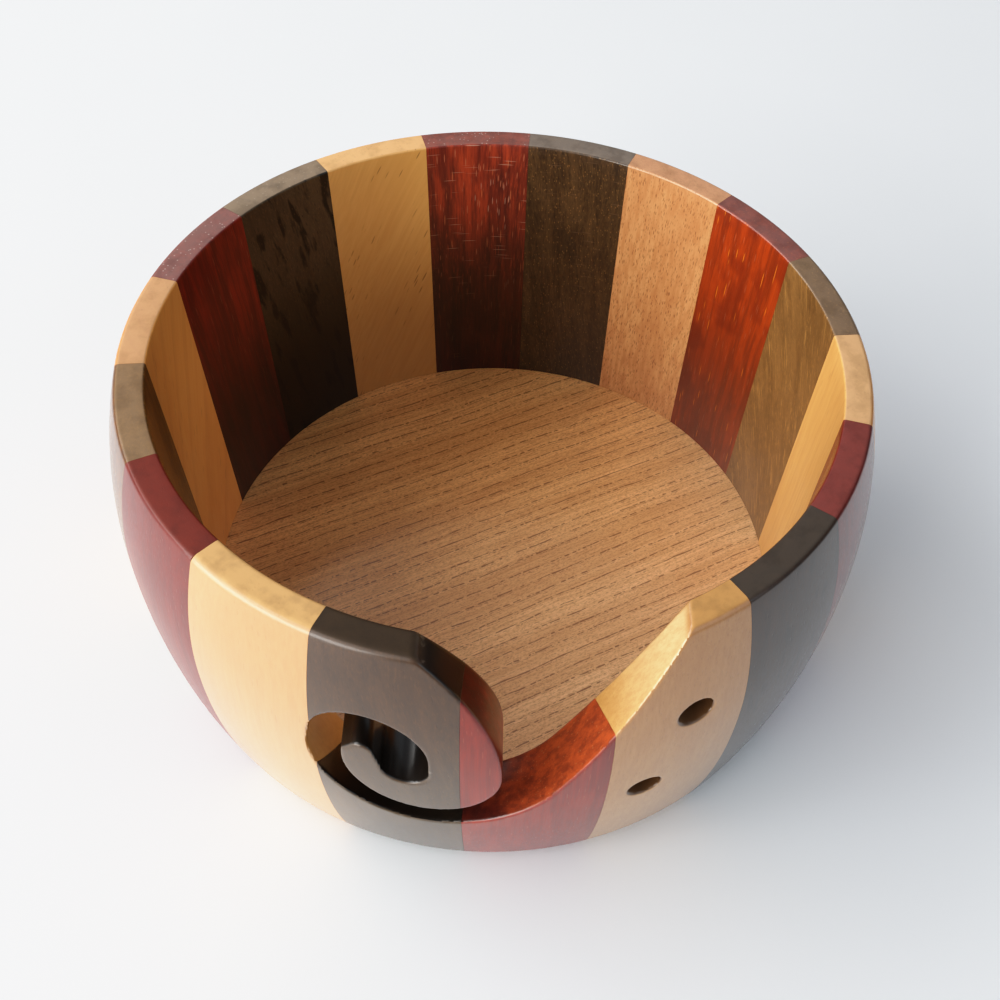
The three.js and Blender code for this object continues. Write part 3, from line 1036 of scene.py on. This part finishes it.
def sanding_scratches(n, place):
    """Fine pale scratches in patches, most of them round the bowl and some up the wall."""
    around = n.specks(n.scaled(place, 0.11, 0.11, 2.2), 0.24, 0.6)
    upright = n.specks(n.scaled(place, 2.2, 2.2, 0.13), 0.24, 0.6)
    patch = n.noise(n.scaled(place, 0.06, 0.06, 0.06), 2.0)
    here = n.times(around, n.ramp(patch, 0.45, 0.6))
    there = n.times(upright, n.ramp(patch, 0.52, 0.42))
    return n.math("MAXIMUM", here, there)


def sawn_rim_and_sheen(n, color, place, look):
    """color with the rim's greyed top, partly a painted sheen of the bright room, its stains and its
    pale specks.
    """
    stain = n.ramp(n.noise(n.scaled(place, 0.22, 0.22, 0.22), 4.0, 0.6), 0.42, 0.68)
    deeper = tuple(c * 0.72 for c in look.rim)
    grey_and_sheen = n.mix(stain, look.rim, deeper)
    top = rim_top(n)
    color = n.mix(n.times(top, RIM_AND_SHEEN_SHARE), color, grey_and_sheen)
    if not look.dust:
        return color
    speck = n.specks(n.scaled(place, 1.1, 1.1, 1.1), 0.24, 0.7)
    return n.mix(n.times(n.times(speck, top), look.dust), color, SPECK_COLOR)


def wood_material(name, kind, build, turn, look, cut_grain_and_shade_tint=None):
    """One board's wood, turned to its stave and marked by its place on the bowl."""
    n = Nodes(name)
    n.cut = cut_face(n)
    board, place = grain_place(n, turn, look.lean, look.seed)
    color, height, fine = build(n, board, place, look)
    if look.scratches:
        scratches = n.times(sanding_scratches(n, place), inner_wall(n))
        color = n.mix(n.times(scratches, look.scratches), color, SCRATCH_COLOR)
    # The rim top's colour: partly greyed end grain, partly a painted sheen.
    if look.rim:
        color = sawn_rim_and_sheen(n, color, place, look)
    # Painted shade: the inside darkened towards the floor.
    if look.low:
        color = n.mix(n.times(painted_low_shade(n), look.low), color, LOW_SHADE_TINT, "MULTIPLY")
    # Painted shade: the outside darker towards the rim, as the upward-tilted wall gets less light.
    if kind != "floor":
        color = n.mix(n.times(painted_upper_shade(n), look.upper_shade), color, UPPER_SHADE_TINT, "MULTIPLY")
    # Cut faces: their end grain's own colour mixed with painted light and shade.
    if cut_grain_and_shade_tint:
        color = n.mix(n.cut, color, cut_grain_and_shade_tint, "MULTIPLY")
    # Painted shade on the padauk's cut faces down in the slot.
    if kind == "padauk":
        color = n.mix(n.times(n.cut, painted_slot_shade(n, place)), color, SLOT_SHADE_TINT, "MULTIPLY")
    if kind == "beech":
        low_cut = n.times(n.cut, fade(n, from_axis(n)[1], LOW_CUT_FADE))
        color = n.mix(low_cut, color, LOW_CUT_TINT, "MULTIPLY")
        # Painted shade inside the needle holes.
        color = n.mix(shaded_bores(n), color, BORE_SHADE_COLOR)
    # Pale convex edges: partly wear, partly a painted highlight along the rounded edges.
    pointed = n.ramp(n.node("NewGeometry", {}).outputs["Pointiness"], 0.55, 0.66)
    pointed = n.times(pointed, fade(n, n.split(n.object_place())[2], EDGE_WEAR_AND_HIGHLIGHT_FADE))
    wear_and_highlight = n.times(pointed, n.ramp(n.noise(n.scaled(place, 0.5, 0.5, 0.2), 3.0), 0.35, 0.6))
    color = n.mix(n.times(wear_and_highlight, EDGE_WEAR_AND_HIGHLIGHT_SHARE), color, EDGE_WEAR_AND_HIGHLIGHT_COLOR)
    n.put(n.shader.inputs["Base Color"], color)
    top = rim_top(n)
    rough = n.math("ADD", n.times(fine, 0.18), n.math("ADD", 0.36, n.times(top, RIM_EXTRA_ROUGHNESS)))
    n.put(n.shader.inputs["Roughness"], rough)
    bump = n.node("Bump", {"Height": height, "Strength": 0.25, "Distance": GRAIN_RELIEF * MM})
    n.put(n.shader.inputs["Normal"], bump.outputs[0])
    finished = n.math("SUBTRACT", 1.0, n.times(top, RIM_BARE_SHARE))
    n.put(n.shader.inputs["Coat Weight"], n.times(finished, look.gloss))
    n.shader.inputs["Coat Roughness"].default_value = FINISH_ROUGHNESS
    n.shader.inputs["Coat IOR"].default_value = FINISH_IOR
    n.shader.inputs["IOR"].default_value = WOOD_IOR
    return n.material


def table_material():
    """Smooth white board with the faintest unevenness."""
    n = Nodes("table_white")
    cloud = n.noise(n.scaled(n.object_place(), 14.0, 14.0, 14.0), 3.0)
    n.put(n.shader.inputs["Base Color"], n.mix(cloud, (0.88, 0.905, 0.93), (0.91, 0.935, 0.96)))
    n.put(n.shader.inputs["Roughness"], n.math("ADD", n.times(cloud, 0.1), 0.5))
    return n.material


# --- assembly ---------------------------------------------------------------------


def place_piece(piece, node, material):
    """Gives a piece its material and its node's place in the frame."""
    piece.data.materials.append(material)
    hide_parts(node)
    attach(piece, "root")


def stave_material(number, kind, node):
    """Wood of one stave, with its grain turned to the stave's middle."""
    look = STAVE_LOOKS[number]
    turn = FIRST_JOINT_ANGLE + (number - 0.5) * STAVE_ANGLE
    return wood_material(node + "_wood", kind, WOODS[kind], turn, look, CUT_GRAIN_AND_SHADE_TINTS.get(node))


def build_bowl():
    """One piece for every node: staves by number, then the base disc."""
    staves = {}
    for node in sorted(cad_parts):
        if node.startswith("stave_"):
            staves.setdefault(int(node.split("_")[1]), []).append(node)
    for number, nodes in sorted(staves.items()):
        # A cut stave's foot comes first, then the part above the slot.
        nodes.sort(key=lambda node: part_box(node)[0][2])
        kind = nodes[0].split("_")[2]
        names = ["turned_" + node for node in nodes]
        if number in FRONT_STAVES:
            pieces = front_staves(number, names)
        else:
            pieces = [swept_stave(names[0], number)]
        for piece, node in zip(pieces, nodes):
            place_piece(piece, node, stave_material(number, kind, node))
    disc = base_disc("turned_base_disc")
    material = wood_material(
        "base_disc_wood", "floor", beech_board, -FLOOR_GRAIN_ANGLE, FLOOR_LOOK)
    place_piece(disc, "base_disc", material)


def make_table():
    """The flat board that the bowl stands on, which isn't part of it."""
    mesh = bpy.data.meshes.new("table")
    r = TABLE_HALF
    z = -TABLE_GAP
    corners = [(-r, -r, z), (r, -r, z), (r, r, z), (-r, r, z)]
    mesh.from_pydata(corners, [], [(0, 1, 2, 3)])
    table = bpy.data.objects.new("table", mesh)
    bpy.context.scene.collection.objects.link(table)
    mesh.materials.append(table_material())


# --- scene ------------------------------------------------------------------------


def make_camera():
    """The camera, above the front of the bowl and a little turned and rolled."""
    data = bpy.data.cameras.new("camera")
    data.sensor_width = 36
    data.lens = CAMERA_LENS
    data.shift_x, data.shift_y = CAMERA_SHIFT
    data.dof.use_dof = False
    camera = bpy.data.objects.new("camera", data)
    bpy.context.scene.collection.objects.link(camera)
    pan, tilt, roll = (math.radians(v) for v in (CAMERA_PAN, CAMERA_TILT, CAMERA_ROLL))
    ahead = Vector((math.sin(pan) * math.cos(tilt), math.cos(pan) * math.cos(tilt), -math.sin(tilt)))
    right = ahead.cross(Vector((0, 0, 1))).normalized()
    up = right.cross(ahead)
    turned_right = right * math.cos(roll) + up * math.sin(roll)
    turned_up = up * math.cos(roll) - right * math.sin(roll)
    axes = Matrix((turned_right, turned_up, -ahead)).transposed()
    camera.matrix_world = Matrix.Translation(Vector(CAMERA_PLACE) * MM) @ axes.to_4x4()
    bpy.context.scene.camera = camera


def light_from(name, azimuth, elevation, size, power, color):
    """A soft light that faces the bowl from a direction, in degrees from +X and from the table."""
    a, e = math.radians(azimuth), math.radians(elevation)
    flat = LIGHT_DISTANCE * math.cos(e)
    place = Vector((flat * math.cos(a), flat * math.sin(a), LIGHT_DISTANCE * math.sin(e)))
    data = bpy.data.lights.new(name, "AREA")
    data.shape = "RECTANGLE"
    data.size, data.size_y = size
    data.energy = power
    data.color = color
    light = bpy.data.objects.new(name, data)
    light.location = place
    light.rotation_euler = (Vector(BOWL_MIDDLE) - place).to_track_quat("-Z", "Y").to_euler()
    bpy.context.scene.collection.objects.link(light)


def make_world():
    """A room that is brighter overhead, in front of a plain pale backdrop."""
    world = bpy.data.worlds.new("studio")
    bpy.context.scene.world = world
    world.use_nodes = True
    tree = world.node_tree
    background = tree.nodes["Background"]
    direction = tree.nodes.new("ShaderNodeTexCoord")
    height = tree.nodes.new("ShaderNodeSeparateXYZ")
    room = tree.nodes.new("ShaderNodeValToRGB")
    tree.links.new(direction.outputs["Generated"], height.inputs[0])
    tree.links.new(height.outputs["Z"], room.inputs["Fac"])
    ray = tree.nodes.new("ShaderNodeLightPath")
    seen = tree.nodes.new("ShaderNodeMix")
    seen.data_type = "RGBA"
    seen.inputs[7].default_value = (*BACKDROP_COLOR, 1.0)
    tree.links.new(ray.outputs["Is Camera Ray"], seen.inputs[0])
    tree.links.new(room.outputs["Color"], seen.inputs[6])
    tree.links.new(seen.outputs[2], background.inputs["Color"])
    low, high = room.color_ramp.elements
    low.position, high.position = 0.1, 0.9
    low.color = (*HORIZON_COLOR, 1.0)
    high.color = (*CEILING_COLOR, 1.0)


def set_tone():
    """A tone curve on scene-linear values, with deepened shadows and eased highlights."""
    view = bpy.context.scene.view_settings
    view.view_transform = "Standard"
    view.use_curve_mapping = True
    view.curve_mapping.clip_max_x = TONE_CURVE[-1][0]
    curve = view.curve_mapping.curves[3]
    curve.points[-1].location = TONE_CURVE[-1]
    for at, value in TONE_CURVE[:-1]:
        curve.points.new(at, value)
    view.curve_mapping.update()


build_bowl()
make_table()
make_camera()
make_world()
for light in LIGHTS:
    light_from(*light)
set_tone()
